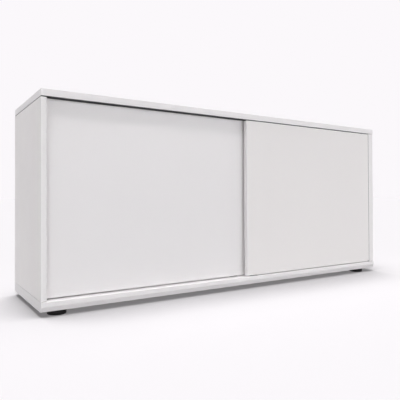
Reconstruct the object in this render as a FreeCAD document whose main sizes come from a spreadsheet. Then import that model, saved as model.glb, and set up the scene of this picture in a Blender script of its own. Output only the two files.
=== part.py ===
import FreeCAD, Part
import os
from types import SimpleNamespace

import Sketcher

# Sliding door cabinet on four levelling feet, 1600 x 400 x 700 mm.
# X runs from left to right, Y from the front to the back, Z up. The origin is on the floor,
# under the middle of the cabinet.

# ---------------------------------------------------------------- driving dimensions (mm)
DIMENSIONS = {
    # carcass
    "width": 1600,
    "depth": 400,
    "top_thickness": 22,
    "slab_thickness": 32,
    "side_height": 627,
    "shadow_gap": 3,
    "spacer_inset": 1,
    "joint_line": 1.2,
    "joint_line_depth": 4.5,
    "side_thickness": 18,
    "partition_thickness": 18,
    "back_thickness": 8,
    "back_inset": 15,
    "back_groove_depth": 6,
    "edge_setback": 2,
    "band_thickness": 2,
    "band_radius": 1,
    "slab_nose_radius": 3,
    "slab_end_radius": 0.5,
    "slab_bevel_height": 16,
    "slab_bevel_setback": 8,
    # doors
    "door_thickness": 18,
    "rear_door_setback": 32,
    "door_gap_bottom": 3,
    "door_gap_top_front": 3.5,
    "door_gap_top_rear": 0.5,
    "door_gap_side": 2,
    "open_remainder": 80,
    "overlap_width": 20,
    "overlap_thickness": 15,
    "overlap_recess": 0.5,
    "overlap_radius": 1,
    # shelves
    "shelf_thickness": 18,
    "shelf_side_gap": 1,
    "shelf_back_gap": 2,
    "shelf_front_setback": 10,
    "partition_door_gap": 4,
    "pin_row_pitch": 32,
    "pin_column_inset": 50,
    "pin_hole_radius": 2.5,
    "pin_hole_depth": 8.5,
    "pin_in_hole": 8,
    "pin_reach": 9,
    "pin_collar_radius": 4,
    "pin_collar_thickness": 0.8,
    # runner profile in the top board
    "runner_height": 15,
    "runner_wall": 1.5,
    "runner_flange": 2,
    "channel_width": 13,
    "channel_slot": 5,
    "track_stop_length": 20,
    "track_stop_gap": 1,
    # hangers and rollers of the doors
    "wheel_radius": 5,
    "wheel_width": 3,
    "wheel_rim": 1.2,
    "wheel_rim_chamfer": 0.3,
    "wheel_hub_radius": 2.3,
    "wheel_web_recess": 0.4,
    "wheel_side_gap": 0.4,
    "wheel_seat_gap": 0.3,
    "axle_radius": 1.25,
    "axle_length": 12,
    "axle_head_radius": 2,
    "axle_head_length": 0.4,
    "running_clearance": 0.05,
    "hanger_inset": 70,
    "hanger_length": 44,
    "hanger_width": 12,
    "hanger_height": 20,
    "neck_length": 20,
    "neck_thickness": 3.6,
    "neck_above_axle": 3,
    "neck_chamfer": 2,
    # floor guides of the doors
    "door_groove_width": 5,
    "door_groove_depth": 10,
    "door_groove_inset": 10,
    "guide_length": 40,
    "guide_width": 12,
    "guide_base_height": 3,
    "guide_fin_length": 30,
    "guide_fin_thickness": 3.6,
    "guide_fin_height": 10,
    "guide_fin_chamfer": 0.8,
    "guide_peg_radius": 3,
    "guide_peg_length": 8,
    "guide_peg_spacing": 24,
    # stop strip and door seals
    "stop_strip_width": 13,
    "seal_seat_gap": 0.3,
    "seal_recess": 0.5,
    "seal_width": 14,
    "strip_screw_inset": 40,
    "screw_head_radius": 3.5,
    "screw_head_height": 3,
    "screw_shank_radius": 1.75,
    "screw_length": 25,
    "screw_head_recess": 0.5,
    # joinery of the uprights
    "cam_radius": 7.5,
    "cam_depth": 12.5,
    "cam_edge_distance": 24,
    "cam_front_inset": 70,
    "cam_back_inset": 70,
    "cam_slot_width": 2,
    "cam_slot_depth": 3,
    "bolt_radius": 3.4,
    "bolt_thread_radius": 2.5,
    "bolt_thread_length": 11,
    "dowel_radius": 4,
    "dowel_spacing": 32,
    "dowel_in_board": 11,
    "dowel_in_upright": 19,
    "drill_clearance": 0.2,
    # levelling feet
    "foot_height": 16,
    "foot_radius": 30,
    "foot_rim_radius": 3,
    "foot_shoulder_radius": 1.5,
    "foot_inset_left": 58,
    "foot_inset_right": 87,
    "foot_inset_y": 40,
    "foot_seat_gap": 0.3,
    "stem_radius": 5,
    "stem_reach": 20,
    "stem_in_pad": 10,
    "stem_chamfer": 1,
    "socket_radius": 9,
    "socket_length": 22,
    "socket_flange_radius": 13,
    "socket_flange_height": 2,
}


class Size:
    """A length that holds its formula in the sheet and its present value."""

    def __init__(self, formula, value):
        self.formula = formula
        self.value = value

    def __add__(self, other):
        other = as_size(other)
        return Size(f"({self.formula} + {other.formula})", self.value + other.value)

    def __sub__(self, other):
        other = as_size(other)
        return Size(f"({self.formula} - {other.formula})", self.value - other.value)

    def __mul__(self, factor):
        factor = as_size(factor)
        return Size(f"({self.formula} * {factor.formula})", self.value * factor.value)

    def __truediv__(self, divisor):
        divisor = as_size(divisor)
        return Size(f"({self.formula} / {divisor.formula})", self.value / divisor.value)

    def __neg__(self):
        return self * -1


def as_size(number):
    """A Size as it is, or a plain number as a Size."""
    return number if isinstance(number, Size) else Size(f"({number})", number)


doc = FreeCAD.newDocument("sliding_door_cabinet")
sheet = doc.addObject("Spreadsheet::Sheet", "dims")
for row, (alias, amount) in enumerate(DIMENSIONS.items(), start=1):
    sheet.set(f"A{row}", alias)
    sheet.set(f"B{row}", str(amount))
    sheet.setAlias(f"B{row}", alias)
doc.recompute()
d = SimpleNamespace(**{alias: Size(f"dims.{alias}", amount) for alias, amount in DIMENSIONS.items()})

# ---------------------------------------------------------------- planes of the cabinet
zero = as_size(0)
left = -d.width / 2
right = d.width / 2
front = -d.depth / 2
back = d.depth / 2
slab_underside = d.foot_height
slab_top = slab_underside + d.slab_thickness
side_top = slab_top + d.side_height
top_underside = side_top + d.shadow_gap
top_surface = top_underside + d.top_thickness
inner_left = left + d.side_thickness
inner_right = right - d.side_thickness
side_front = front + d.edge_setback
back_panel_rear = back - d.back_inset
back_panel_front = back_panel_rear - d.back_thickness
front_door_face = side_front
front_door_middle = front_door_face + d.door_thickness / 2
rear_door_face = front + d.rear_door_setback
rear_door_middle = rear_door_face + d.door_thickness / 2
partition_front = rear_door_face + d.door_thickness + d.partition_door_gap
partition_left = -d.partition_thickness / 2
partition_right = d.partition_thickness / 2
door_bottom = slab_top + d.door_gap_bottom
front_door_top = top_underside - d.door_gap_top_front
rear_door_top = top_underside - d.door_gap_top_rear
stop_strip_edge = inner_right - d.stop_strip_width
stop_strip_bottom = slab_top + d.joint_line
stop_strip_top = top_underside - d.joint_line
left_door_edge = inner_left + d.door_gap_side
right_door_edge = stop_strip_edge - d.door_gap_side
doors_meet = zero
shelf_middle = (slab_top + top_underside) / 2
shelf_front = partition_front + d.shelf_front_setback
shelf_rear = back_panel_front - d.shelf_back_gap
shelf_bottom = shelf_middle + d.pin_hole_radius
pin_column_front = partition_front + d.pin_column_inset
pin_column_back = back_panel_front - d.pin_column_inset
runner_floor = top_underside + d.runner_flange
runner_top = top_underside + d.runner_height
runner_ceiling = runner_top - d.runner_wall
runner_front = front + d.band_thickness
runner_rear = rear_door_middle + d.channel_width / 2 + d.runner_wall
wheel_centre = runner_floor + d.wheel_seat_gap + d.wheel_radius
screw_in_side = d.screw_length - d.stop_strip_width + d.screw_head_recess

X_AXIS = FreeCAD.Vector(1, 0, 0)
Y_AXIS = FreeCAD.Vector(0, 1, 0)
Z_AXIS = FreeCAD.Vector(0, 0, 1)
FLATNESS = 0.01
PIN_ROWS = 9
PARTS = []


# ---------------------------------------------------------------- helpers: binding and solids
def bind(thing, prop, size):
    """Tie one property to the sheet."""
    thing.setExpression(prop, as_size(size).formula)


def place(thing, x, y, z):
    """Put an object's origin at a point given by sizes."""
    for axis, size in zip("xyz", (x, y, z)):
        bind(thing, f"Placement.Base.{axis}", size)
    return thing


def box(low, high, name="block"):
    """Box between its lowest and its highest corner."""
    solid = doc.addObject("Part::Box", name)
    for prop, start, end in zip(("Length", "Width", "Height"), low, high):
        bind(solid, prop, as_size(end) - start)
    return place(solid, *low)


def rod(radius, start, direction, length, name="rod"):
    """Cylinder from its start point along a direction."""
    solid = doc.addObject("Part::Cylinder", name)
    solid.Placement = FreeCAD.Placement(FreeCAD.Vector(), FreeCAD.Rotation(Z_AXIS, direction))
    bind(solid, "Radius", radius)
    bind(solid, "Height", length)
    return place(solid, *start)


def cone(radius_start, radius_end, start, direction, length, name="cone"):
    """Cone frustum from its start point along a direction."""
    solid = doc.addObject("Part::Cone", name)
    solid.Placement = FreeCAD.Placement(FreeCAD.Vector(), FreeCAD.Rotation(Z_AXIS, direction))
    bind(solid, "Radius1", radius_start)
    bind(solid, "Radius2", radius_end)
    bind(solid, "Height", length)
    return place(solid, *start)


def fuse(solids, name="joined"):
    """One solid from several that overlap or touch."""
    joined = doc.addObject("Part::MultiFuse", name)
    joined.Shapes = solids
    return joined


def cut(base, tools, name="cut"):
    """A solid with the tools cut out of it."""
    result = doc.addObject("Part::Cut", name)
    result.Base = base
    result.Tool = tools[0] if len(tools) == 1 else fuse(tools, "cutters")
    return result


def group(label, members):
    """Identical pieces kept as separate solids in one node."""
    together = doc.addObject("Part::Compound", label)
    together.Links = members
    return finish(together, label)


def finish(thing, label):
    """Name a sub-part and list it for export."""
    thing.Label = label
    PARTS.append(thing)
    return thing


# ---------------------------------------------------------------- helpers: bodies and sketches
def new_body(label):
    body = doc.addObject("PartDesign::Body", label)
    return finish(body, label)


def sketch_on(body, role, offset=zero):
    """Sketch on one of the body's own origin planes, raised by an offset along its normal."""
    plane = next(item for item in body.Origin.OriginFeatures if item.Role == role)
    sketch = body.newObject("Sketcher::SketchObject", "sketch")
    sketch.AttachmentSupport = (plane, [""])
    sketch.MapMode = "FlatFace"
    bind(sketch, "AttachmentOffset.Base.z", offset)
    return sketch


def hold(sketch, kind, geometry, point, size):
    """Constrain one point's distance from the sketch's origin to a size."""
    index = sketch.addConstraint(Sketcher.Constraint(kind, -1, 1, geometry, point, size.value))
    bind(sketch, f"Constraints[{index}]", size)


def outline(sketch, corners):
    """Closed outline of straight lines through corners given as pairs of sizes."""
    corners = [(as_size(u), as_size(v)) for u, v in corners]
    points = [FreeCAD.Vector(u.value, v.value, 0) for u, v in corners]
    first = sketch.GeometryCount
    count = len(points)
    for index in range(count):
        sketch.addGeometry(Part.LineSegment(points[index], points[(index + 1) % count]), False)
    for index, (u, v) in enumerate(corners):
        previous = first + (index - 1) % count
        sketch.addConstraint(Sketcher.Constraint("Coincident", previous, 2, first + index, 1))
        hold(sketch, "DistanceX", first + index, 1, u)
        hold(sketch, "DistanceY", first + index, 1, v)


def rectangle(sketch, low, high):
    outline(sketch, [low, (high[0], low[1]), high, (low[0], high[1])])


def circle(sketch, centre, radius):
    u, v = (as_size(size) for size in centre)
    middle = FreeCAD.Vector(u.value, v.value, 0)
    ring = sketch.addGeometry(Part.Circle(middle, Z_AXIS, radius.value), False)
    hold(sketch, "DistanceX", ring, 3, u)
    hold(sketch, "DistanceY", ring, 3, v)
    index = sketch.addConstraint(Sketcher.Constraint("Radius", ring, radius.value))
    bind(sketch, f"Constraints[{index}]", radius)


def pad(body, sketch, length, reverse=False):
    feature = body.newObject("PartDesign::Pad", "pad")
    feature.Profile = sketch
    feature.Reversed = reverse
    bind(feature, "Length", length)
    return feature


def pocket(body, sketch, length, reverse=False):
    """Cut a sketch out of the body and make sure that it removes material."""
    doc.recompute()
    volume = body.Shape.Volume
    feature = body.newObject("PartDesign::Pocket", "pocket")
    feature.Profile = sketch
    feature.Reversed = reverse
    bind(feature, "Length", length)
    doc.recompute()
    if body.Shape.Volume >= volume:
        raise RuntimeError(f"{body.Label}: a pocket cuts nothing")
    return feature


def revolve(body, sketch):
    """Turn a sketch once round its vertical axis."""
    feature = body.newObject("PartDesign::Revolution", "turned")
    feature.Profile = sketch
    feature.ReferenceAxis = (sketch, ["V_Axis"])
    feature.Angle = 360
    return feature


def dress(body, kind, prop, size, test):
    """Fillet or chamfer the body's edges whose bounding box passes a test."""
    doc.recompute()
    tip = body.Tip
    names = [f"Edge{n}" for n, edge in enumerate(tip.Shape.Edges, start=1) if test(edge.BoundBox)]
    if not names:
        raise RuntimeError(f"{body.Label}: no edge to dress")
    feature = body.newObject(f"PartDesign::{kind}", kind.lower())
    feature.Base = (tip, names)
    bind(feature, prop, size)
    return feature


def lies_in(bounds, axis, size):
    """True where an edge's bounding box is flat in the plane at a place on an axis."""
    low, high = getattr(bounds, f"{axis}Min"), getattr(bounds, f"{axis}Max")
    return abs(low - size.value) < FLATNESS and abs(high - size.value) < FLATNESS


def is_upright(bounds):
    """True for an edge that is longest along Z."""
    return bounds.ZLength > max(bounds.XLength, bounds.YLength)


# ---------------------------------------------------------------- carcass boards
def upright_joints():
    """Every corner joint of an upright: its middle, its drilled face and where along Y it lies."""
    side_rows = (side_front + d.cam_front_inset, back - d.cam_back_inset)
    middle_rows = (partition_front + d.cam_front_inset, back_panel_front - d.cam_back_inset)
    uprights = {
        "left": (inner_left - d.side_thickness / 2, inner_left, X_AXIS, side_rows),
        "middle": (zero, partition_left, -X_AXIS, middle_rows),
        "right": (inner_right + d.side_thickness / 2, inner_right, -X_AXIS, side_rows),
    }
    return uprights


def cam_levels(which):
    """The two ends of an upright: its edge, the way out, the cams' height and the gap to the board."""
    gap = zero if which == "middle" else d.shadow_gap
    top_edge = top_underside - gap
    return (
        (slab_top, -Z_AXIS, slab_top + d.cam_edge_distance, zero),
        (top_edge, Z_AXIS, top_edge - d.cam_edge_distance, gap),
    )


def dowel_place(rows, index):
    """A dowel stands beside each cam, on its side towards the middle of the depth."""
    return rows[0] + d.dowel_spacing if index == 0 else rows[1] - d.dowel_spacing


def upright_drilling(which):
    """Cutters for the cams, their bolts and the dowels in one upright."""
    middle, face, outward, rows = upright_joints()[which]
    cam_hole = d.cam_radius + d.drill_clearance
    bolt_hole = d.bolt_radius + d.drill_clearance
    dowel_hole = d.dowel_radius + d.drill_clearance
    dowel_depth = d.dowel_in_upright + d.drill_clearance
    tools = []
    for edge, away, height, _ in cam_levels(which):
        for index, y in enumerate(rows):
            tools.append(rod(cam_hole, (face, y, height), -outward, d.cam_depth + d.drill_clearance))
            tools.append(rod(bolt_hole, (middle, y, edge), -away, d.cam_edge_distance))
            dowel_y = dowel_place(rows, index)
            tools.append(rod(dowel_hole, (middle, dowel_y, edge), -away, dowel_depth))
    return tools


def board_drilling(face, away):
    """Cutters for the bolts and dowels of all three uprights in the top or the bottom board."""
    bolt_depth = d.bolt_thread_length + d.drill_clearance
    dowel_hole = d.dowel_radius + d.drill_clearance
    dowel_depth = d.dowel_in_board + d.drill_clearance
    tools = []
    for middle, _, _, rows in upright_joints().values():
        for index, y in enumerate(rows):
            tools.append(rod(d.bolt_thread_radius, (middle, y, face), away, bolt_depth))
            dowel_y = dowel_place(rows, index)
            tools.append(rod(dowel_hole, (middle, dowel_y, face), away, dowel_depth))
    return tools


def back_rebate(low, high):
    """Cutter for the groove that takes the back panel's edges, between two heights."""
    start = (inner_left - d.back_groove_depth, back_panel_front, low)
    end = (inner_right + d.back_groove_depth, back_panel_rear, high)
    return box(start, end)


def feet_places():
    """Where the four feet stand."""
    across = {"left": left + d.foot_inset_left, "right": right - d.foot_inset_right}
    along = {"front": front + d.foot_inset_y, "back": back - d.foot_inset_y}
    return {f"{row}_{side}": (x, y) for row, y in along.items() for side, x in across.items()}


def make_bottom_panel():
    """Thick bottom board: rounded nose at the front, shallow bevel under it, drilled for the feet."""
    body = doc.addObject("PartDesign::Body", "bottom_board")
    profile = sketch_on(body, "YZ_Plane", left)
    bevel_top = slab_underside + d.slab_bevel_height
    outline(profile, [
        (front + d.slab_bevel_setback, slab_underside),
        (back, slab_underside),
        (back, slab_top),
        (front, slab_top),
        (front, bevel_top),
    ])
    pad(body, profile, d.width)
    dress(body, "Fillet", "Radius", d.slab_nose_radius,
          lambda b: lies_in(b, "Y", front) and lies_in(b, "Z", slab_top))
    dress(body, "Fillet", "Radius", d.band_radius,
          lambda b: lies_in(b, "Y", front + d.slab_bevel_setback) and lies_in(b, "Z", slab_underside))
    dress(body, "Fillet", "Radius", d.slab_end_radius,
          lambda b: lies_in(b, "X", left) or lies_in(b, "X", right))
    tools = [back_rebate(slab_top - d.back_groove_depth, slab_top)]
    tools += board_drilling(slab_top, -Z_AXIS)
    for x, y in guide_places().values():
        tools += guide_solids(x, y)
    for x, y in feet_places().values():
        tools.append(rod(d.socket_radius, (x, y, slab_underside), Z_AXIS, d.socket_length))
        tools.append(rod(d.socket_flange_radius, (x, y, slab_underside), Z_AXIS, d.socket_flange_height))
    finish(cut(body, tools, "bottom_panel"), "bottom_panel")


def make_top_panel():
    """Top board inside its edge band, rebated for the runner profile."""
    board = box((left + d.band_thickness, front + d.band_thickness, top_underside),
                (right - d.band_thickness, back - d.band_thickness, top_surface))
    tools = [back_rebate(top_underside, top_underside + d.back_groove_depth)]
    tools += board_drilling(top_underside, Z_AXIS)
    tools.append(box((inner_left, runner_front, top_underside), (inner_right, runner_rear, runner_top)))
    finish(cut(board, tools, "top_panel"), "top_panel")


def make_top_spacers():
    """Recessed strips on top of the side boards, which leave a shadow gap under the top board."""
    spans = {
        "left": (left + d.spacer_inset, inner_left, side_front + d.spacer_inset),
        "right": (inner_right, right - d.spacer_inset, side_front + d.band_thickness),
    }
    spacers = []
    for which, (low_x, high_x, low_y) in spans.items():
        strip = box((low_x, low_y, side_top), (high_x, back - d.spacer_inset, top_underside))
        middle, _, _, rows = upright_joints()[which]
        tools = [back_rebate(side_top, top_underside)]
        for index, y in enumerate(rows):
            tools.append(rod(d.bolt_radius + d.drill_clearance, (middle, y, side_top), Z_AXIS,
                             d.shadow_gap))
            tools.append(rod(d.dowel_radius + d.drill_clearance,
                             (middle, dowel_place(rows, index), side_top), Z_AXIS, d.shadow_gap))
        spacers.append(cut(strip, tools, "spacer"))
    group("top_spacers", spacers)


def make_top_edge_band():
    """Edge band all round the top board, with rounded corners and arrises."""
    body = new_body("top_edge_band")
    ring = sketch_on(body, "XY_Plane", top_underside)
    rectangle(ring, (left, front), (right, back))
    rectangle(ring, (left + d.band_thickness, front + d.band_thickness),
              (right - d.band_thickness, back - d.band_thickness))
    pad(body, ring, d.top_thickness)
    dress(body, "Fillet", "Radius", d.band_radius,
          lambda b: lies_in(b, "X", left) or lies_in(b, "X", right)
          or lies_in(b, "Y", front) or lies_in(b, "Y", back))


def make_side_panel(which):
    """Side board with a fine joint line over the bottom board, grooved for the back and drilled."""
    low_x, inner = (left, inner_left) if which == "left" else (inner_right, inner_right)
    into_board = -X_AXIS if which == "left" else X_AXIS
    board = box((low_x, side_front + d.band_thickness, slab_top),
                (low_x + d.side_thickness, back, side_top))
    line_x = left if which == "left" else right - d.joint_line_depth
    joint_line = box((line_x, side_front, slab_top),
                     (line_x + d.joint_line_depth, back, slab_top + d.joint_line))
    tools = upright_drilling(which) + [back_rebate(slab_top, side_top), joint_line]
    for y in (pin_column_front, pin_column_back):
        for z in pin_heights():
            tools.append(rod(d.pin_hole_radius, (inner, y, z), into_board, d.pin_hole_depth))
    if which == "right":
        for z in strip_screw_heights():
            start = (inner, front_door_middle, z)
            tools.append(rod(d.screw_shank_radius, start, into_board, screw_in_side))
    finish(cut(board, tools, f"side_panel_{which}"), f"side_panel_{which}")


def pin_heights():
    """Heights of one row of shelf pin holes, spread evenly about the middle of the cabinet."""
    return [shelf_middle + d.pin_row_pitch * (step - (PIN_ROWS - 1) / 2) for step in range(PIN_ROWS)]


def make_front_band(label, low_x, high_x, low_y, low_z, high_z):
    """Edge band on the front edge of an upright or a shelf, with its front arrises rounded."""
    body = new_body(label)
    profile = sketch_on(body, "XY_Plane", low_z)
    rectangle(profile, (low_x, low_y), (high_x, low_y + d.band_thickness))
    pad(body, profile, high_z - low_z)
    upright = (high_z - low_z).value > (high_x - low_x).value
    dress(body, "Fillet", "Radius", d.band_radius,
          lambda b: lies_in(b, "Y", low_y) and is_upright(b) == upright)


def make_centre_partition():
    """Upright in the middle, with shelf pin holes right through it."""
    board = box((partition_left, partition_front + d.band_thickness, slab_top),
                (partition_right, back_panel_front, top_underside))
    tools = upright_drilling("middle")
    for y in (pin_column_front, pin_column_back):
        for z in pin_heights():
            tools.append(rod(d.pin_hole_radius, (partition_left, y, z), X_AXIS, d.partition_thickness))
    finish(cut(board, tools, "centre_partition"), "centre_partition")


def make_back_panel():
    """Thin back board, held in grooves on its four sides."""
    reach = d.back_groove_depth - d.drill_clearance
    board = box((inner_left - reach, back_panel_front, slab_top - reach),
                (inner_right + reach, back_panel_rear, top_underside + reach), "back_panel")
    finish(board, "back_panel")


def shelf_span(which):
    """The two ends of a shelf between a side panel and the partition."""
    if which == "left":
        return inner_left + d.shelf_side_gap, partition_left - d.shelf_side_gap
    return partition_right + d.shelf_side_gap, inner_right - d.shelf_side_gap


def make_shelf(which):
    low_x, high_x = shelf_span(which)
    board = box((low_x, shelf_front + d.band_thickness, shelf_bottom),
                (high_x, shelf_rear, shelf_bottom + d.shelf_thickness), f"shelf_{which}")
    finish(board, f"shelf_{which}")
    make_front_band(f"shelf_edge_band_{which}", low_x, high_x, shelf_front,
                    shelf_bottom, shelf_bottom + d.shelf_thickness)


def make_shelf_pins():
    """Eight pins, four under each shelf: a stub in the board, a thin collar and the bearing end."""
    pins = []
    faces = ((inner_left, 1), (partition_left, -1), (partition_right, 1), (inner_right, -1))
    for face, outward in faces:
        for y in (pin_column_front, pin_column_back):
            start = face - d.pin_in_hole * outward
            stub = rod(d.pin_hole_radius, (start, y, shelf_middle), X_AXIS * outward,
                       d.pin_in_hole + d.pin_reach)
            collar = rod(d.pin_collar_radius, (face, y, shelf_middle), X_AXIS * outward,
                         d.pin_collar_thickness)
            pins.append(fuse([stub, collar], "shelf_pin"))
    group("shelf_pins", pins)


# ---------------------------------------------------------------- joinery hardware
def make_cam_housings():
    """Twelve cams with a cross slot and a side mouth for the bolt's head."""
    half = d.cam_slot_width / 2
    reach = d.cam_radius - d.cam_slot_width
    cams = []
    for which, (middle, face, outward, rows) in upright_joints().items():
        low_x = face - d.cam_slot_depth if outward.x > 0 else face
        high_x = low_x + d.cam_slot_depth
        for _, away, height, _ in cam_levels(which):
            for y in rows:
                drum = rod(d.cam_radius, (face, y, height), -outward, d.cam_depth)
                mouth = rod(d.bolt_radius + d.drill_clearance, (middle, y, height), away, d.cam_radius)
                flat = box((low_x, y - reach, height - half), (high_x, y + reach, height + half))
                tall = box((low_x, y - half, height - reach), (high_x, y + half, height + reach))
                cams.append(cut(drum, [mouth, flat, tall], "cam"))
    group("cam_housings", cams)


def make_cam_bolts():
    """Twelve bolts, screwed into the top and bottom boards, that the cams pull on."""
    bolts = []
    for which, (middle, _, _, rows) in upright_joints().items():
        for edge, away, _, gap in cam_levels(which):
            face = edge + gap * away.z
            for y in rows:
                thread = rod(d.bolt_thread_radius, (middle, y, face), away, d.bolt_thread_length)
                shank = rod(d.bolt_radius, (middle, y, face), -away,
                            d.cam_edge_distance + gap - d.drill_clearance)
                bolts.append(fuse([thread, shank], "cam_bolt"))
    group("cam_bolts", bolts)


def make_dowels():
    """Twelve beech dowels that line up the uprights with the top and bottom boards."""
    dowels = []
    for which, (middle, _, _, rows) in upright_joints().items():
        for edge, away, _, gap in cam_levels(which):
            length = d.dowel_in_upright + gap + d.dowel_in_board
            for index in range(2):
                y = dowel_place(rows, index)
                start = edge - d.dowel_in_upright * away.z
                dowels.append(rod(d.dowel_radius, (middle, y, start), away, length, "dowel"))
    group("dowels", dowels)


# ---------------------------------------------------------------- runner profile, guides and stops
def make_runner_profile():
    """Extruded profile with two T-slot channels, let into the top board over the doors."""
    half, slot = d.channel_width / 2, d.channel_slot / 2
    front_wall = front_door_middle + half + d.runner_wall
    rear_wall = rear_door_middle - half - d.runner_wall
    corners = [(runner_front, top_underside)]
    for middle in (front_door_middle, rear_door_middle):
        corners += [
            (middle - slot, top_underside), (middle - slot, runner_floor),
            (middle - half, runner_floor), (middle - half, runner_ceiling),
            (middle + half, runner_ceiling), (middle + half, runner_floor),
            (middle + slot, runner_floor), (middle + slot, top_underside),
        ]
        if middle is front_door_middle:
            corners += [
                (front_wall, top_underside), (front_wall, runner_ceiling),
                (rear_wall, runner_ceiling), (rear_wall, top_underside),
            ]
    corners += [(runner_rear, top_underside), (runner_rear, runner_top), (runner_front, runner_top)]
    body = new_body("runner_profile")
    section = sketch_on(body, "YZ_Plane", inner_left)
    outline(section, corners)
    pad(body, section, inner_right - inner_left)


def make_track_stops():
    """Blocks in the channels that end each door's travel by meeting its inner hanger."""
    reach = d.neck_length / 2 + d.track_stop_gap
    half = d.channel_width / 2
    stops = []
    for which, sense in (("left", 1), ("right", -1)):
        near = hanger_places(which)["inner"] + (door_travel(which) + reach) * sense
        far = near + d.track_stop_length * sense
        low_x, high_x = (near, far) if sense > 0 else (far, near)
        middle = door_planes()[which][3]
        stops.append(box((low_x, middle - half, runner_floor), (high_x, middle + half, runner_ceiling),
                         "stop"))
    group("track_stops", stops)


def guide_places():
    """Where the two floor guides stand: each under the part its door covers when open and shut."""
    offset = d.open_remainder / 2
    return {
        "front": (doors_meet + offset, front_door_middle),
        "rear": (doors_meet - offset, rear_door_middle),
    }


def guide_solids(x, y):
    """The base plate and the two pegs of a floor guide, which fill their seats in the board."""
    half_length, half_width = d.guide_length / 2, d.guide_width / 2
    base_low = slab_top - d.guide_base_height
    solids = [box((x - half_length, y - half_width, base_low),
                  (x + half_length, y + half_width, slab_top), "base")]
    for side in (-1, 1):
        peg_x = x + d.guide_peg_spacing / 2 * side
        solids.append(rod(d.guide_peg_radius, (peg_x, y, base_low), -Z_AXIS, d.guide_peg_length, "peg"))
    return solids


def make_floor_guide(row):
    """Moulded guide, flush in the bottom board, whose fin runs in the groove under a door."""
    x, y = guide_places()[row]
    half, chamfer = d.guide_fin_thickness / 2, d.guide_fin_chamfer
    fin_top = slab_top + d.guide_fin_height
    fin = doc.addObject("PartDesign::Body", "fin")
    section = sketch_on(fin, "YZ_Plane", x - d.guide_fin_length / 2)
    outline(section, [
        (y - half, slab_top), (y + half, slab_top), (y + half, fin_top - chamfer),
        (y + half - chamfer, fin_top), (y - half + chamfer, fin_top), (y - half, fin_top - chamfer),
    ])
    pad(fin, section, d.guide_fin_length)
    label = f"floor_guide_{row}"
    finish(fuse(guide_solids(x, y) + [fin], label), label)


def strip_screw_heights():
    return (slab_top + d.strip_screw_inset, shelf_middle, side_top - d.strip_screw_inset)


def strip_screw_start(z):
    """The outer end of a strip screw's head, sunk into the strip's inner face."""
    return (stop_strip_edge + d.screw_head_recess, front_door_middle, z)


def make_stop_strip():
    """Strip that the shut front door's edge meets, with a lip over the right side board's front edge."""
    body = doc.addObject("PartDesign::Body", "strip_bar")
    profile = sketch_on(body, "XY_Plane", stop_strip_bottom)
    outline(profile, [
        (stop_strip_edge, side_front), (right, side_front),
        (right, side_front + d.band_thickness), (inner_right, side_front + d.band_thickness),
        (inner_right, side_front + d.door_thickness), (stop_strip_edge, side_front + d.door_thickness),
    ])
    pad(body, profile, stop_strip_top - stop_strip_bottom)
    dress(body, "Fillet", "Radius", d.band_radius,
          lambda b: is_upright(b) and lies_in(b, "Y", side_front))
    tools = []
    for z in strip_screw_heights():
        mouth = (stop_strip_edge, front_door_middle, z)
        tools.append(rod(d.screw_shank_radius, mouth, X_AXIS, d.stop_strip_width))
        tools.append(rod(d.screw_head_radius, mouth, X_AXIS, d.screw_head_recess))
        tools.append(cone(d.screw_head_radius, d.screw_shank_radius, strip_screw_start(z), X_AXIS,
                          d.screw_head_height))
    finish(cut(body, tools, "stop_strip"), "stop_strip")


def make_strip_screws():
    """Three countersunk screws that hold the stop strip to the side board."""
    screws = []
    for z in strip_screw_heights():
        start = strip_screw_start(z)
        head = cone(d.screw_head_radius, d.screw_shank_radius, start, X_AXIS, d.screw_head_height)
        shank = rod(d.screw_shank_radius, start, X_AXIS, d.screw_length)
        screws.append(fuse([head, shank], "screw"))
    group("strip_screws", screws)


def make_door_seals():
    """Soft dark seals that the shut doors' outer edges rest against, one for each door."""
    thickness = d.door_gap_side - d.seal_seat_gap
    seats = ((inner_left, rear_door_face), (stop_strip_edge - thickness, front_door_face))
    seals = []
    for low_x, face in seats:
        low_y = face + d.seal_recess
        seals.append(box((low_x, low_y, slab_top), (low_x + thickness, low_y + d.seal_width, side_top),
                         "seal"))
    group("door_seals", seals)


# ---------------------------------------------------------------- doors
def door_planes():
    """Each door: its two vertical edges, its front face, its middle plane and its upper edge."""
    return {
        "left": (left_door_edge, doors_meet, rear_door_face, rear_door_middle, rear_door_top),
        "right": (doors_meet, right_door_edge, front_door_face, front_door_middle, front_door_top),
    }


def door_travel(which):
    """How far a door slides: all its width but the part that stays in its own half."""
    low_x, high_x, _, _, _ = door_planes()[which]
    return high_x - low_x - d.open_remainder


def hanger_places(which):
    """Where a door's two hangers lie along X."""
    low_x, high_x, _, _, _ = door_planes()[which]
    places = (low_x + d.hanger_inset, high_x - d.hanger_inset)
    return dict(zip(("outer", "inner") if which == "left" else ("inner", "outer"), places))


def door_cutters(which):
    """Cutters for the hangers in the door's upper edge and the guide groove in its lower edge."""
    low_x, high_x, _, middle, top = door_planes()[which]
    half, groove_half = d.hanger_width / 2, d.door_groove_width / 2
    tools = [box((low_x + d.door_groove_inset, middle - groove_half, door_bottom),
                 (high_x - d.door_groove_inset, middle + groove_half, door_bottom + d.door_groove_depth))]
    for x in hanger_places(which).values():
        tools.append(box((x - d.hanger_length / 2, middle - half, top - d.hanger_height),
                         (x + d.hanger_length / 2, middle + half, top)))
    return tools


def make_door_panel(which):
    low_x, high_x, face, _, top = door_planes()[which]
    band = d.band_thickness
    board = box((low_x + band, face, door_bottom + band),
                (high_x - band, face + d.door_thickness, top - band))
    label = f"door_panel_{which}"
    finish(cut(board, door_cutters(which), label), label)


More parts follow.
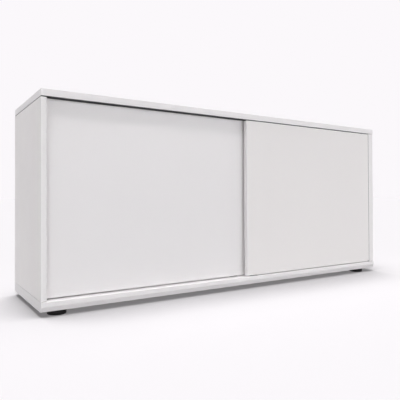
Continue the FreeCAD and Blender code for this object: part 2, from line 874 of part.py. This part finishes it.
def make_door_edge_band(which):
    """Edge band round a door, with its arrises rounded."""
    low_x, high_x, face, _, top = door_planes()[which]
    band = d.band_thickness
    body = doc.addObject("PartDesign::Body", "door_band")
    ring = sketch_on(body, "XZ_Plane", -face)
    rectangle(ring, (low_x, door_bottom), (high_x, top))
    rectangle(ring, (low_x + band, door_bottom + band), (high_x - band, top - band))
    pad(body, ring, d.door_thickness, reverse=True)
    dress(body, "Fillet", "Radius", d.band_radius,
          lambda b: lies_in(b, "X", low_x) or lies_in(b, "X", high_x)
          or lies_in(b, "Z", door_bottom) or lies_in(b, "Z", top))
    label = f"door_edge_band_{which}"
    finish(cut(body, door_cutters(which), label), label)


def make_overlap_strip():
    """Dust strip on the rear door's inner edge, which runs behind the front door."""
    body = new_body("overlap_strip")
    low_y = rear_door_face + d.overlap_recess
    profile = sketch_on(body, "XY_Plane", door_bottom)
    rectangle(profile, (doors_meet, low_y), (doors_meet + d.overlap_width, low_y + d.overlap_thickness))
    pad(body, profile, rear_door_top - door_bottom)
    edge = doors_meet + d.overlap_width
    dress(body, "Fillet", "Radius", d.overlap_radius,
          lambda b: lies_in(b, "X", edge) and is_upright(b))


def make_door_hanger(which, spot):
    """Moulded block in the door's upper edge, with a thin bored neck that reaches into the channel."""
    x = hanger_places(which)[spot]
    _, _, _, middle, top = door_planes()[which]
    half_length, half_width = d.hanger_length / 2, d.hanger_width / 2
    half_neck, chamfer = d.neck_length / 2, d.neck_chamfer
    axle_height = wheel_centre - top
    neck_top = axle_height + d.neck_above_axle
    body = new_body(f"door_hanger_{which}_{spot}")
    block = sketch_on(body, "XZ_Plane", -half_width)
    rectangle(block, (-half_length, -d.hanger_height), (half_length, zero))
    pad(body, block, d.hanger_width)
    neck = sketch_on(body, "XZ_Plane", -d.neck_thickness / 2)
    outline(neck, [
        (-half_neck, -chamfer), (half_neck, -chamfer), (half_neck, neck_top - chamfer),
        (half_neck - chamfer, neck_top), (-half_neck + chamfer, neck_top),
        (-half_neck, neck_top - chamfer),
    ])
    pad(body, neck, d.neck_thickness)
    bore = sketch_on(body, "XZ_Plane", -d.neck_thickness / 2)
    circle(bore, (zero, axle_height), d.axle_radius + d.running_clearance)
    pocket(body, bore, d.neck_thickness, reverse=True)
    place(body, x, middle, top)


def make_hanger_axles(which):
    """The two riveted steel pins that a door's rollers turn on."""
    middle = door_planes()[which][3]
    start, end = middle - d.axle_length / 2, middle + d.axle_length / 2
    pins = []
    for x in hanger_places(which).values():
        pin = rod(d.axle_radius, (x, start, wheel_centre), Y_AXIS, d.axle_length)
        heads = [rod(d.axle_head_radius, (x, y, wheel_centre), Y_AXIS, d.axle_head_length)
                 for y in (start, end - d.axle_head_length)]
        pins.append(fuse([pin] + heads, "axle"))
    group(f"hanger_axles_{which}", pins)


def make_roller_wheels(which, spot):
    """A hanger's two wheels, each with a flat tread, chamfered rims, a thin web and a hub."""
    x, middle = hanger_places(which)[spot], door_planes()[which][3]
    half = d.wheel_width / 2
    offset = d.neck_thickness / 2 + d.wheel_side_gap + half
    web = half - d.wheel_web_recess
    rim = d.wheel_radius - d.wheel_rim
    chamfer = d.wheel_rim_chamfer
    bore = d.axle_radius + d.running_clearance
    wheels = []
    for side in (-1, 1):
        wheel = doc.addObject("PartDesign::Body", "wheel")
        section = sketch_on(wheel, "XY_Plane")
        outline(section, [
            (bore, -half), (d.wheel_hub_radius, -half), (d.wheel_hub_radius, -web), (rim, -web),
            (rim, -half), (d.wheel_radius - chamfer, -half), (d.wheel_radius, -half + chamfer),
            (d.wheel_radius, half - chamfer), (d.wheel_radius - chamfer, half), (rim, half),
            (rim, web), (d.wheel_hub_radius, web), (d.wheel_hub_radius, half), (bore, half),
        ])
        revolve(wheel, section)
        wheels.append(place(wheel, x, middle + offset * side, wheel_centre))
    group(f"roller_wheels_{which}_{spot}", wheels)


# ---------------------------------------------------------------- levelling feet
def make_foot_pad(spot):
    """Round black pad with a rounded rim, bored for the stem."""
    x, y = feet_places()[spot]
    top = d.foot_height - d.foot_seat_gap
    body = new_body(f"foot_pad_{spot}")
    section = sketch_on(body, "XZ_Plane")
    bore_floor = top - d.stem_in_pad
    outline(section, [
        (zero, zero), (d.foot_radius, zero), (d.foot_radius, top), (d.stem_radius, top),
        (d.stem_radius, bore_floor), (zero, bore_floor),
    ])
    revolve(body, section)
    dress(body, "Fillet", "Radius", d.foot_rim_radius,
          lambda b: lies_in(b, "Z", zero) and b.XMax > d.foot_radius.value - FLATNESS)
    dress(body, "Fillet", "Radius", d.foot_shoulder_radius,
          lambda b: lies_in(b, "Z", top) and b.XMax > d.foot_radius.value - FLATNESS)
    place(body, x, y, zero)


def make_foot_stem(spot):
    """Steel stem that is screwed up or down in its socket."""
    x, y = feet_places()[spot]
    foot = d.foot_height - d.foot_seat_gap - d.stem_in_pad
    tip = d.foot_height + d.stem_reach
    body = new_body(f"foot_stem_{spot}")
    section = sketch_on(body, "XZ_Plane")
    outline(section, [
        (zero, foot), (d.stem_radius, foot), (d.stem_radius, tip - d.stem_chamfer),
        (d.stem_radius - d.stem_chamfer, tip), (zero, tip),
    ])
    revolve(body, section)
    place(body, x, y, zero)


def make_foot_socket(spot):
    """Flanged socket in the bottom board that the stem turns in."""
    x, y = feet_places()[spot]
    bore = d.stem_radius + d.running_clearance
    base, flange = d.foot_height, d.foot_height + d.socket_flange_height
    body = new_body(f"foot_socket_{spot}")
    section = sketch_on(body, "XZ_Plane")
    outline(section, [
        (bore, base), (d.socket_flange_radius, base), (d.socket_flange_radius, flange),
        (d.socket_radius, flange), (d.socket_radius, base + d.socket_length),
        (bore, base + d.socket_length),
    ])
    revolve(body, section)
    place(body, x, y, zero)


# ---------------------------------------------------------------- assembly
def make_carcass():
    make_top_panel()
    make_top_edge_band()
    make_top_spacers()
    make_bottom_panel()
    for which in ("left", "right"):
        make_side_panel(which)
    make_front_band("side_edge_band", left, inner_left, side_front, slab_top + d.joint_line, side_top)
    make_centre_partition()
    make_front_band("partition_edge_band", partition_left, partition_right, partition_front,
                    slab_top, top_underside)
    make_back_panel()
    for which in ("left", "right"):
        make_shelf(which)
    make_shelf_pins()
    make_cam_housings()
    make_cam_bolts()
    make_dowels()


def make_running_gear():
    make_runner_profile()
    make_track_stops()
    for row in ("front", "rear"):
        make_floor_guide(row)
    make_stop_strip()
    make_strip_screws()
    make_door_seals()


def make_doors():
    for which in ("left", "right"):
        make_door_panel(which)
        make_door_edge_band(which)
        make_hanger_axles(which)
        for spot in ("outer", "inner"):
            make_door_hanger(which, spot)
            make_roller_wheels(which, spot)
    make_overlap_strip()


def make_feet():
    for spot in feet_places():
        make_foot_pad(spot)
        make_foot_stem(spot)
        make_foot_socket(spot)


def check_document():
    """Stop if any object failed or any sub-part has no sound shape."""
    doc.recompute()
    for thing in doc.Objects:
        if "Invalid" in thing.State or "Error" in thing.State:
            raise RuntimeError(f"{thing.Label}: {thing.State}")
    for thing in PARTS:
        if thing.Shape.isNull() or not thing.Shape.isValid():
            raise RuntimeError(f"{thing.Label}: its shape is missing or not valid")


def export_parts():
    os.makedirs("parts", exist_ok=True)
    for thing in PARTS:
        thing.Shape.exportStep(f"parts/{thing.Label}.step")
        print(f"{thing.Label}: {len(thing.Shape.Solids)} solid(s), {thing.Shape.Volume / 1000:.2f} cm3")


make_carcass()
make_running_gear()
make_doors()
make_feet()
check_document()
export_parts()
print(f"{len(PARTS)} sub-parts")
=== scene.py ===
import math

import bpy
from mathutils import Matrix, Vector


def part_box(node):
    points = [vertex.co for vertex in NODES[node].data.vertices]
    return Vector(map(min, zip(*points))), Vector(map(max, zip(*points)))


# A white sliding door cabinet on a pale floor, in soft studio light.
# Metres, +Z up, the front faces -Y, the origin is on the floor under the middle of the cabinet.

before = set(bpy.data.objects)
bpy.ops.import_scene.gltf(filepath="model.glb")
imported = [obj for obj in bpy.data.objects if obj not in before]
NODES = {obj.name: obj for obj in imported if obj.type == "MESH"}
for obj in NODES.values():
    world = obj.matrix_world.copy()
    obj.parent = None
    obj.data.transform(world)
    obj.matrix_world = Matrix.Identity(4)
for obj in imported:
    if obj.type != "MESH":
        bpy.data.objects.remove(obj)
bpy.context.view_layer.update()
scene = bpy.context.scene

# ---------------------------------------------------------------- camera
# The focal length and the row of the optical centre are in pixels of a square picture.
IMAGE_SIDE = 400.0
FOCAL_PX = 447.4
CENTRE_ROW = 192.97
SENSOR = 36.0
CLIP_START, CLIP_END = 0.01, 2000.0
# Yaw turns from +Y towards +X, pitch upwards and roll to the left, all in radians.
CAMERA_AT = Vector((-1.1317, -1.6013, 0.3618))
YAW = math.radians(32.897)
PITCH = 0.01211
ROLL = -0.00414


def make_camera():
    """Camera off the left front corner, at about half the cabinet's height."""
    forward = Vector((math.sin(YAW) * math.cos(PITCH), math.cos(YAW) * math.cos(PITCH), math.sin(PITCH)))
    level = Vector((math.cos(YAW), -math.sin(YAW), 0.0))
    above = level.cross(forward)
    right = math.cos(ROLL) * level + math.sin(ROLL) * above
    up = math.cos(ROLL) * above - math.sin(ROLL) * level
    data = bpy.data.cameras.new("camera")
    data.sensor_width = SENSOR
    data.lens = FOCAL_PX / IMAGE_SIDE * SENSOR
    data.shift_y = (CENTRE_ROW - IMAGE_SIDE / 2) / IMAGE_SIDE
    data.clip_start, data.clip_end = CLIP_START, CLIP_END
    camera = bpy.data.objects.new("camera", data)
    turn = Matrix((right, up, -forward)).transposed().to_4x4()
    camera.matrix_world = Matrix.Translation(CAMERA_AT) @ turn
    scene.collection.objects.link(camera)
    scene.camera = camera


# ---------------------------------------------------------------- shader helpers
def scaled(color, factor):
    return tuple(channel * factor for channel in color)


def color_ramp(tree, value, stops):
    """Colour looked up between stops of (position, colour)."""
    ramp = tree.nodes.new("ShaderNodeValToRGB")
    band = ramp.color_ramp
    while len(band.elements) < len(stops):
        band.elements.new(0.5)
    for element, (position, color) in zip(band.elements, stops):
        element.position = position
        element.color = (*color, 1.0)
    tree.links.new(value, ramp.inputs["Fac"])
    return ramp.outputs["Color"]


def map_range(tree, value, low, high):
    """Node that gives what lies between two pairs of (value, result)."""
    node = tree.nodes.new("ShaderNodeMapRange")
    for socket, amount in zip(("From Min", "To Min", "From Max", "To Max"), (*low, *high)):
        node.inputs[socket].default_value = amount
    tree.links.new(value, node.inputs["Value"])
    return node


def seen_factor(tree):
    """1 for rays from the camera, off a glossy surface or through glass, else 0."""
    path = tree.nodes.new("ShaderNodeLightPath")
    factor = path.outputs["Is Camera Ray"]
    for ray in ("Is Glossy Ray", "Is Transmission Ray"):
        either = tree.nodes.new("ShaderNodeMath")
        either.operation = "MAXIMUM"
        tree.links.new(factor, either.inputs[0])
        tree.links.new(path.outputs[ray], either.inputs[1])
        factor = either.outputs[0]
    return factor


def output_by_ray(tree, kind, lit, seen):
    """End a tree in one shader for the light it sends on and another for how it is seen."""
    mix = tree.nodes.new("ShaderNodeMixShader")
    output = tree.nodes.new(kind)
    tree.links.new(seen_factor(tree), mix.inputs["Fac"])
    tree.links.new(lit.outputs[0], mix.inputs[1])
    tree.links.new(seen.outputs[0], mix.inputs[2])
    tree.links.new(mix.outputs[0], output.inputs["Surface"])


# ---------------------------------------------------------------- light, floor and background
BACKDROP = (0.9647, 0.9387, 0.9647, 1.0)
# The world's light stands round the horizon: its level from the sides and the back, what it gains
# towards the front and the rise over which it fades out.
SKY_COLOR = (1.0, 1.0, 1.0, 1.0)
SKY_LEVEL = 4.26
SKY_FRONT = 2.4
SKY_FADE_START, SKY_FADE_END = 0.06, 0.22
# Each lamp: its strength on a surface that faces it, then in degrees its elevation, how far to the
# left of the front it stands and its spread.
LAMPS = {"key": (0.36, 60, 24, 18), "ceiling": (0.79, 88.5, 0, 9)}
LAMP_DISTANCE = 3.0
# The floor: how far it reaches, its colour as it lights the cabinet and as it is seen, and the
# share of what is seen that doesn't depend on the lamps.
FLOOR_REACH = 900.0
FLOOR_COLOR = (0.32, 0.315, 0.32, 1.0)
FLOOR_SEEN_COLOR = (0.784, 0.763, 0.784, 1.0)
FLOOR_GLOW = 0.6
# The cabinet's shade on the floor: how far it reaches, which way the floor faces as it looks for
# what closes it off, and how light it is at each share of openness.
SHADE_REACH = 0.38
SHADE_SAMPLES = 24
SHADE_LEAN = Vector((-0.06, 0.10, 1.0)).normalized()
SHADE_STOPS = ((0.0, 0.29), (0.45, 0.22), (0.55, 0.33), (0.60, 0.40), (0.70, 0.63), (0.82, 0.90),
               (0.90, 0.96), (1.0, 1.0))


def make_world():
    """White light from round the horizon, and the pale background for whatever sees it."""
    world = bpy.data.worlds.new("studio")
    world.use_nodes = True
    tree = world.node_tree
    tree.nodes.clear()
    direction = tree.nodes.new("ShaderNodeSeparateXYZ")
    tree.links.new(tree.nodes.new("ShaderNodeTexCoord").outputs["Generated"], direction.inputs[0])
    level = map_range(tree, direction.outputs["Y"], (-1.0, SKY_LEVEL + SKY_FRONT), (0.0, SKY_LEVEL))
    fade = map_range(tree, direction.outputs["Z"], (SKY_FADE_START, 1.0), (SKY_FADE_END, 0.0))
    fade.interpolation_type = "SMOOTHSTEP"
    tree.links.new(level.outputs["Result"], fade.inputs["To Min"])
    light = tree.nodes.new("ShaderNodeBackground")
    light.inputs["Color"].default_value = SKY_COLOR
    tree.links.new(fade.outputs["Result"], light.inputs["Strength"])
    backdrop = tree.nodes.new("ShaderNodeBackground")
    backdrop.inputs["Color"].default_value = BACKDROP
    output_by_ray(tree, "ShaderNodeOutputWorld", light, backdrop)
    scene.world = world


def make_lamps():
    """Wide soft lights from above the front."""
    for name, (level, elevation, aside, spread) in LAMPS.items():
        data = bpy.data.lights.new(name, "SUN")
        data.energy = level * math.pi
        data.angle = math.radians(spread)
        lamp = bpy.data.objects.new(name, data)
        rise, turn = math.radians(elevation), math.radians(aside)
        towards = Vector((-math.cos(rise) * math.sin(turn), -math.cos(rise) * math.cos(turn),
                          math.sin(rise)))
        lamp.rotation_euler = towards.to_track_quat("Z", "Y").to_euler()
        lamp.location = towards * LAMP_DISTANCE
        scene.collection.objects.link(lamp)


def floor_shade(tree):
    """The background's colour, darker where the cabinet closes the floor off from the room."""
    openness = tree.nodes.new("ShaderNodeAmbientOcclusion")
    openness.samples = SHADE_SAMPLES
    openness.inputs["Distance"].default_value = SHADE_REACH
    lean = tree.nodes.new("ShaderNodeCombineXYZ")
    for socket, amount in zip(lean.inputs, SHADE_LEAN):
        socket.default_value = amount
    tree.links.new(lean.outputs[0], openness.inputs["Normal"])
    stops = [(position, scaled(BACKDROP[:3], level)) for position, level in SHADE_STOPS]
    return color_ramp(tree, openness.outputs["AO"], stops)


def make_floor():
    """Pale floor that keeps the shadow and runs into the background."""
    material = bpy.data.materials.new("floor")
    material.use_nodes = True
    tree = material.node_tree
    tree.nodes.clear()
    lit = tree.nodes.new("ShaderNodeBsdfDiffuse")
    lit.inputs["Color"].default_value = FLOOR_COLOR
    seen = tree.nodes.new("ShaderNodeBsdfDiffuse")
    seen.inputs["Color"].default_value = FLOOR_SEEN_COLOR
    # What the camera sees of the floor is partly lit by the lamps and partly a glow darkened by the
    # painted shade from floor_shade.
    glow = tree.nodes.new("ShaderNodeEmission")
    tree.links.new(floor_shade(tree), glow.inputs["Color"])
    seen_with_shade = tree.nodes.new("ShaderNodeMixShader")
    seen_with_shade.inputs["Fac"].default_value = FLOOR_GLOW
    tree.links.new(seen.outputs[0], seen_with_shade.inputs[1])
    tree.links.new(glow.outputs[0], seen_with_shade.inputs[2])
    output_by_ray(tree, "ShaderNodeOutputMaterial", lit, seen_with_shade)
    mesh = bpy.data.meshes.new("floor")
    corners = [(FLOOR_REACH * math.sin(turn), FLOOR_REACH * math.cos(turn), 0.0)
               for turn in (0.0, -2 * math.pi / 3, 2 * math.pi / 3)]
    mesh.from_pydata(corners, [], [(0, 1, 2)])
    mesh.materials.append(material)
    floor = bpy.data.objects.new("floor", mesh)
    scene.collection.objects.link(floor)


# ---------------------------------------------------------------- materials
# A noise value lies mostly between these.
NOISE_LOW, NOISE_HIGH = 0.3, 0.7


class Surface:
    """A material with one Principled shader and noise in the object's own metres."""

    def __init__(self, name, metallic=0.0, specular=0.5):
        self.material = bpy.data.materials.new(name)
        self.material.use_nodes = True
        self.tree = self.material.node_tree
        self.shader = self.tree.nodes["Principled BSDF"]
        self.shader.inputs["Metallic"].default_value = metallic
        self.shader.inputs["Specular IOR Level"].default_value = specular
        self.base_color = self.shader.inputs["Base Color"]
        self.place = self.tree.nodes.new("ShaderNodeTexCoord").outputs["Object"]

    def noise(self, scale, detail=2.0, stretch=(1.0, 1.0, 1.0)):
        """Noise value; scale is in cycles per metre, before the stretch along each axis."""
        mapping = self.tree.nodes.new("ShaderNodeMapping")
        mapping.inputs["Scale"].default_value = stretch
        texture = self.tree.nodes.new("ShaderNodeTexNoise")
        texture.inputs["Scale"].default_value = scale
        texture.inputs["Detail"].default_value = detail
        self.tree.links.new(self.place, mapping.inputs["Vector"])
        self.tree.links.new(mapping.outputs[0], texture.inputs["Vector"])
        return texture.outputs["Fac"]

    def height(self):
        """Height above the object's origin."""
        place = self.tree.nodes.new("ShaderNodeSeparateXYZ")
        self.tree.links.new(self.place, place.inputs[0])
        return place.outputs["Z"]

    def mottle(self, value, dark, light):
        """Colour that runs from dark to light with a noise value."""
        return color_ramp(self.tree, value, [(NOISE_LOW, dark), (NOISE_HIGH, light)])

    def color(self, value, dark, light):
        self.tree.links.new(self.mottle(value, dark, light), self.base_color)

    def roughness(self, value, low, high):
        spread = map_range(self.tree, value, (NOISE_LOW, low), (NOISE_HIGH, high))
        self.tree.links.new(spread.outputs["Result"], self.shader.inputs["Roughness"])

    def bump(self, value, distance, strength):
        """Relief of a height in metres."""
        bump = self.tree.nodes.new("ShaderNodeBump")
        bump.inputs["Distance"].default_value = distance
        bump.inputs["Strength"].default_value = strength
        self.tree.links.new(value, bump.inputs["Height"])
        self.tree.links.new(bump.outputs[0], self.shader.inputs["Normal"])

    def fade(self, low, high):
        """Scale the colour by a tone that runs from one (height, tone) to another: painted light and
        shade along the height.
        """
        tone = map_range(self.tree, self.height(), low, high)
        toned = self.tree.nodes.new("ShaderNodeVectorMath")
        toned.operation = "SCALE"
        self.tree.links.new(self.base_color.links[0].from_socket, toned.inputs[0])
        self.tree.links.new(tone.outputs["Result"], toned.inputs["Scale"])
        self.tree.links.new(toned.outputs["Vector"], self.base_color)

    def expose_core_as_joint_shade(self, height):
        """Raw chipboard in place of the coating below a height; its dark colour is partly the chipboard
        core and partly painted shade in the joint.
        """
        below = self.tree.nodes.new("ShaderNodeMath")
        below.operation = "LESS_THAN"
        below.inputs[1].default_value = height
        self.tree.links.new(self.height(), below.inputs[0])
        shaded_chips = self.mottle(self.noise(600.0, 4.0), CORE_SHADE_DARK, CORE_SHADE_LIGHT)
        choice = self.tree.nodes.new("ShaderNodeMixRGB")
        self.tree.links.new(below.outputs[0], choice.inputs["Fac"])
        self.tree.links.new(self.base_color.links[0].from_socket, choice.inputs["Color1"])
        self.tree.links.new(shaded_chips, choice.inputs["Color2"])
        self.tree.links.new(choice.outputs[0], self.base_color)


# The sides and the right door are a slightly warmer white than the other boards.
WHITE, WARM_WHITE = (0.785, 0.765, 0.774), (0.787, 0.761, 0.760)
# Painted shade: the slab is toned darker than the other boards.
SLAB_PAINTED_SHADE = 0.967
# Painted shade and light: the right door is toned slightly darker, and the left door runs from a darker
# tone at its foot to a lighter one at its top.
RIGHT_DOOR_PAINTED_SHADE = 0.99
LEFT_DOOR_LOW_PAINTED_SHADE, LEFT_DOOR_HIGH_PAINTED_LIGHT = 0.98, 1.055
# Dark raw chipboard shows below this height at the foot of the side panels: partly the board's core and
# partly painted shade in the joint line.
CORE_SHADE_DARK, CORE_SHADE_LIGHT = (0.10, 0.065, 0.035), (0.30, 0.21, 0.13)
JOINT_LINE = 0.0013
RUNNER_GREY, SPACER_GREY = (0.100, 0.100, 0.103), (0.045, 0.045, 0.046)
# Darkest and lightest colour of each mottled surface.
FITTING_GREY = ((0.14, 0.145, 0.15), (0.19, 0.195, 0.20))
NYLON_WHITE = ((0.52, 0.52, 0.49), (0.60, 0.60, 0.57))
RUBBER_BLACK = ((0.020, 0.020, 0.020), (0.035, 0.035, 0.035))
FOOT_BLACK = ((0.002, 0.002, 0.002), (0.005, 0.004, 0.005))
PLATED_GREY = ((0.56, 0.58, 0.60), (0.72, 0.72, 0.70))
CAST_GREY = ((0.42, 0.43, 0.45), (0.60, 0.60, 0.60))
BEECH_BROWN = ((0.42, 0.25, 0.13), (0.66, 0.45, 0.26))
# Stretches that draw noise out into fine lines along an axis, or level round the corners.
LINES = {"x": (0.01, 1.0, 1.0), "z": (1.0, 1.0, 0.01), "level": (0.01, 0.01, 1.0)}


def melamine(name, tone=1.0, white=WHITE):
    """Satin white melamine: faint mottling, uneven gloss and a fine orange-peel relief."""
    surface = Surface(name, specular=0.3)
    color = scaled(white, tone)
    surface.color(surface.noise(2.3, 3.0), scaled(color, 0.992), scaled(color, 1.004))
    surface.roughness(surface.noise(17.0, 3.0), 0.32, 0.40)
    surface.bump(surface.noise(900.0), distance=0.00002, strength=0.35)
    return surface


def edge_band(name, along):
    """Extruded edge band: the same white with very fine lines along its length."""
    surface = Surface(name)
    surface.color(surface.noise(350.0, stretch=LINES[along]), scaled(WHITE, 0.986), WHITE)
    surface.roughness(surface.noise(30.0), 0.33, 0.41)
    surface.bump(surface.noise(700.0, stretch=LINES[along]), distance=0.00002, strength=0.3)
    return surface


def profile_plastic(name, color, along, roughness=0.4, specular=0.5):
    """Extruded profile with draw lines along its length."""
    surface = Surface(name, specular=specular)
    surface.color(surface.noise(300.0, stretch=LINES[along]), scaled(color, 0.975), color)
    surface.roughness(surface.noise(40.0), roughness - 0.05, roughness + 0.06)
    surface.bump(surface.noise(600.0, stretch=LINES[along]), distance=0.00003, strength=0.4)
    return surface


def moulded_plastic(name, colors, roughness, specular=0.5):
    """Moulded plastic with a fine eroded grain and slightly uneven gloss."""
    surface = Surface(name, specular=specular)
    surface.color(surface.noise(45.0, 3.0), *colors)
    surface.roughness(surface.noise(120.0), roughness - 0.06, roughness + 0.08)
    surface.bump(surface.noise(2600.0), distance=0.00004, strength=0.5)
    return surface


def back_board(name):
    """Lacquered fibreboard: white with a faint fibre pattern."""
    surface = Surface(name)
    fibres = surface.noise(90.0, 4.0, (1.0, 1.0, 0.6))
    surface.color(fibres, scaled(WHITE, 0.955), scaled(WHITE, 0.985))
    surface.roughness(surface.noise(60.0, 3.0), 0.45, 0.58)
    surface.bump(surface.noise(420.0, 4.0), distance=0.00005, strength=0.5)
    return surface


def zinc_steel(name):
    """Bright zinc plating: patchy grey with fine turning marks."""
    surface = Surface(name, metallic=1.0)
    surface.color(surface.noise(160.0, 3.0), *PLATED_GREY)
    surface.roughness(surface.noise(500.0, 3.0), 0.24, 0.4)
    surface.bump(surface.noise(2200.0, stretch=(1.0, 1.0, 3.0)), distance=0.00002, strength=0.5)
    return surface


def cast_zinc(name):
    """Die-cast zinc: dull grey with a grainy skin."""
    surface = Surface(name, metallic=1.0)
    surface.color(surface.noise(300.0, 4.0), *CAST_GREY)
    surface.roughness(surface.noise(700.0, 3.0), 0.38, 0.56)
    surface.bump(surface.noise(1800.0, 3.0), distance=0.00005, strength=0.6)
    return surface


def beech(name):
    """Turned beech: fibres along Z with darker flecks."""
    surface = Surface(name)
    surface.color(surface.noise(900.0, 4.0, (1.0, 1.0, 0.06)), *BEECH_BROWN)
    surface.roughness(surface.noise(400.0), 0.5, 0.65)
    surface.bump(surface.noise(1500.0, 3.0, (1.0, 1.0, 0.05)), distance=0.00005, strength=0.6)
    return surface


def dress_nodes():
    """Give each CAD node the material of what it is made of."""
    board = melamine("melamine")
    # Painted shade: the slab is toned darker.
    slab_painted_shade = melamine("melamine_slab_painted_shade", SLAB_PAINTED_SHADE)
    side_board_joint_shade = melamine("melamine_side_joint_shade", white=WARM_WHITE)
    # Painted shade in the joint under the side panels, as dark raw chipboard.
    side_board_joint_shade.expose_core_as_joint_shade(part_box("side_panel_left")[0].z + JOINT_LINE)
    # Painted shade: the right door is toned slightly darker.
    right_door_painted_shade = melamine("melamine_door_painted_shade", RIGHT_DOOR_PAINTED_SHADE, WARM_WHITE)
    door_low, door_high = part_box("door_panel_left")
    # Painted light and shade: the left door grows lighter from its foot to its top.
    rear_door_painted_light = melamine("melamine_rear_door_painted_light")
    rear_door_painted_light.fade((door_low.z, LEFT_DOOR_LOW_PAINTED_SHADE), (door_high.z, LEFT_DOOR_HIGH_PAINTED_LIGHT))
    band_level = edge_band("edge_band_level", "level")
    band_upright = edge_band("edge_band_upright", "z")
    band_along = edge_band("edge_band_along", "x")
    strip = profile_plastic("white_profile", WHITE, "z")
    runner = profile_plastic("dark_profile", RUNNER_GREY, "x", roughness=0.62, specular=0.15)
    spacer = profile_plastic("dark_spacer", SPACER_GREY, "x", roughness=0.6, specular=0.2)
    grey = moulded_plastic("grey_plastic", FITTING_GREY, roughness=0.45)
    nylon = moulded_plastic("wheel_nylon", NYLON_WHITE, roughness=0.32)
    rubber = moulded_plastic("soft_rubber", RUBBER_BLACK, roughness=0.7)
    black = moulded_plastic("black_plastic", FOOT_BLACK, roughness=0.42, specular=0.2)
    steel = zinc_steel("zinc_steel")
    # The first entry that a node's name starts with counts.
    finishes = [
        ("side_edge_band", band_upright), ("partition_edge_band", band_upright),
        ("shelf_edge_band", band_along), ("top_edge_band", band_level), ("door_edge_band", band_level),
        ("door_panel_left", rear_door_painted_light), ("door_panel_right", right_door_painted_shade),
        ("side_panel", side_board_joint_shade), ("bottom_panel", slab_painted_shade),
        ("back_panel", back_board("back_board")),
        ("stop_strip", strip), ("overlap_strip", strip),
        ("runner_profile", runner), ("top_spacers", spacer),
        ("door_hanger", grey), ("floor_guide", grey), ("roller_wheels", nylon),
        ("door_seals", rubber), ("track_stops", rubber), ("foot_pad", black), ("foot_socket", black),
        ("foot_stem", steel), ("hanger_axles", steel), ("cam_bolts", steel),
        ("strip_screws", steel), ("shelf_pins", steel),
        ("cam_housings", cast_zinc("cast_zinc")), ("dowels", beech("beech")),
        ("", board),
    ]
    for name, node in NODES.items():
        surface = next(finish for start, finish in finishes if name.startswith(start))
        node.data.materials.clear()
        node.data.materials.append(surface.material)


make_camera()
make_world()
make_lamps()
make_floor()
dress_nodes()

scene.view_settings.view_transform = "Standard"
